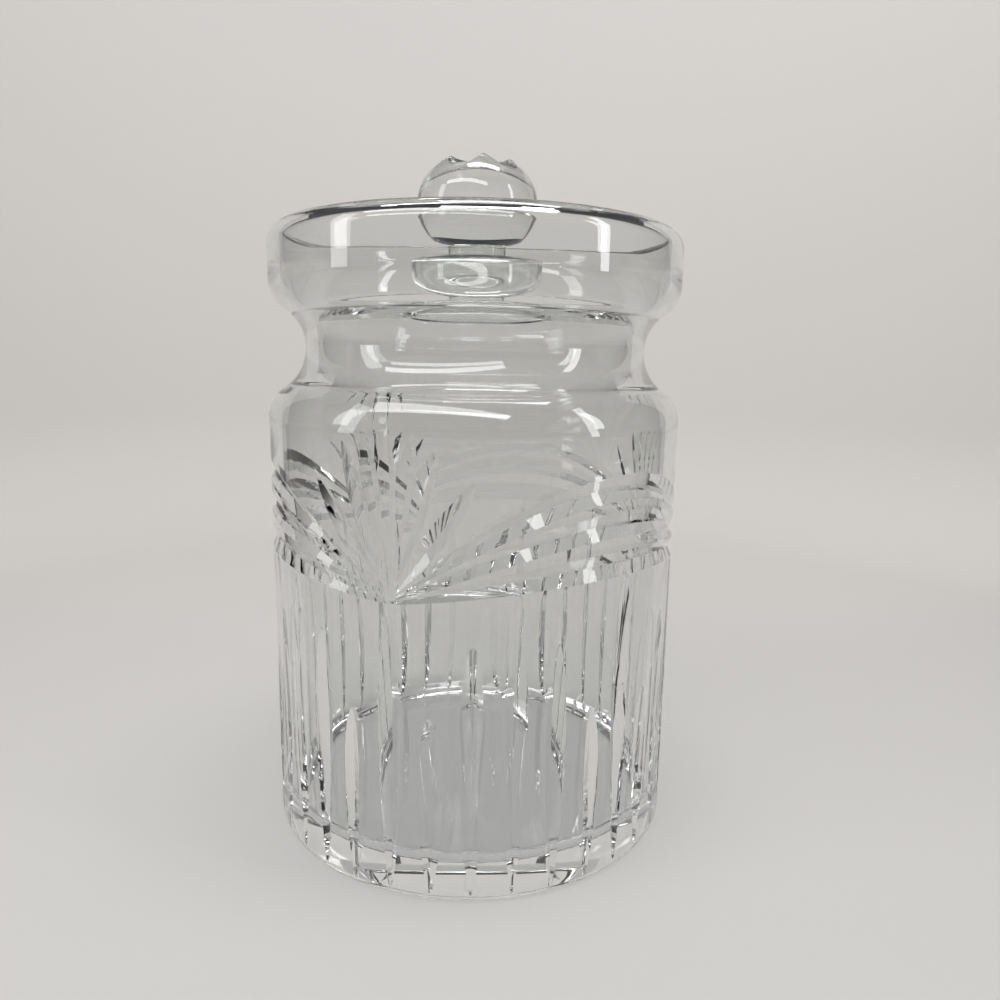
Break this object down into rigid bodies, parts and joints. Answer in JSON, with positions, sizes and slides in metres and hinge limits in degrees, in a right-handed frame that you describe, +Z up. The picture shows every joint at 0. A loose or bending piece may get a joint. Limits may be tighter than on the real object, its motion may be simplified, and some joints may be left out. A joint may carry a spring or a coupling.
{
  "type": "biscuit jar",
  "caption": "Cylindrical cut-glass biscuit jar with a pinched neck, a flared cup mouth and a lift-off glass lid with a ball knob.",
  "frame": {"origin": "centre of the flat foot, on the surface that the jar stands on", "axes": "+Z up along the jar's axis, -Y towards the front of the picture"},
  "size_m": [0.128, 0.128, 0.2052],
  "materials": {
    "jar_glass": "polished, with V-cut grooves",
    "lid_glass": "polished",
    "knob_glass": "polished"
  },
  "bodies": {
    "jar": {"jar_body": "jar_glass"},
    "lid": {"lid_plate": "lid_glass", "lid_knob": "knob_glass"}
  },
  "joints": [
    {"name": "lid_lift", "type": "slide", "parent": "jar", "child": "lid", "axis": [0, 0, 1], "range_m": [0, 0.06]}
  ]
}
